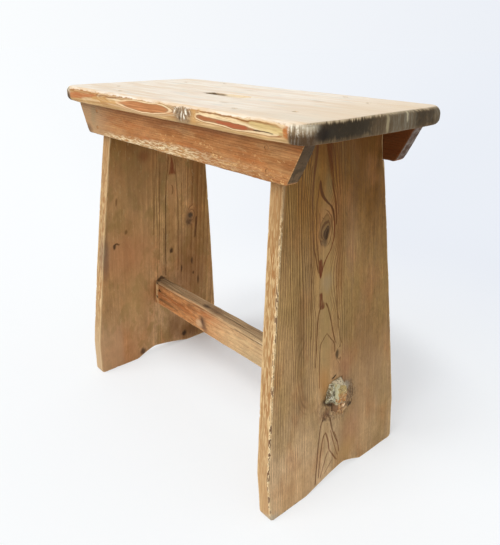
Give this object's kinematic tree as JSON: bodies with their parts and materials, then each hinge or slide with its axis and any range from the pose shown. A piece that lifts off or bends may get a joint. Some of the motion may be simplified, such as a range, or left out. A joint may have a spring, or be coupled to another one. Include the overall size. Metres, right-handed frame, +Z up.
{
  "type": "pine stool",
  "caption": "Small rectangular farmhouse stool in old pine: a round-cornered seat board with a hand slot, aprons, splayed board legs with arched feet and a wedged stretcher.",
  "frame": {"origin": "on the floor, under the middle of the seat", "axes": "+Z up, +X along the seat towards the right leg, -Y towards the front apron that the picture shows"},
  "size_m": [0.46, 0.233, 0.45],
  "materials": {
    "seat_pine": "scrubbed and bleached, bare, worn arrises",
    "apron_pine": "old orange-brown, worn through at the edges",
    "leg_pine": "old brown, dry, open grain",
    "stretcher_pine": "old brown, greyed on top",
    "wedge_pine": "bruised and splintered end grain",
    "nail_iron": "dull, stained like the wood round it"
  },
  "bodies": {
    "root": {"seat_board": "seat_pine", "front_apron": "apron_pine", "rear_apron": "apron_pine", "left_leg": "leg_pine", "right_leg": "leg_pine", "stretcher": "stretcher_pine", "left_wedge": "wedge_pine", "right_wedge": "wedge_pine", "seat_nail_left_leg_front": "nail_iron", "seat_nail_left_leg_rear": "nail_iron", "seat_nail_right_leg_front": "nail_iron", "seat_nail_right_leg_rear": "nail_iron", "seat_nail_front_apron_left": "nail_iron", "seat_nail_front_apron_right": "nail_iron", "seat_nail_rear_apron_left": "nail_iron", "seat_nail_rear_apron_right": "nail_iron", "apron_nail_front_left_upper": "nail_iron", "apron_nail_front_left_lower": "nail_iron", "apron_nail_front_right_upper": "nail_iron", "apron_nail_front_right_lower": "nail_iron", "apron_nail_rear_left_upper": "nail_iron", "apron_nail_rear_left_lower": "nail_iron", "apron_nail_rear_right_upper": "nail_iron", "apron_nail_rear_right_lower": "nail_iron"}
  },
  "joints": []
}
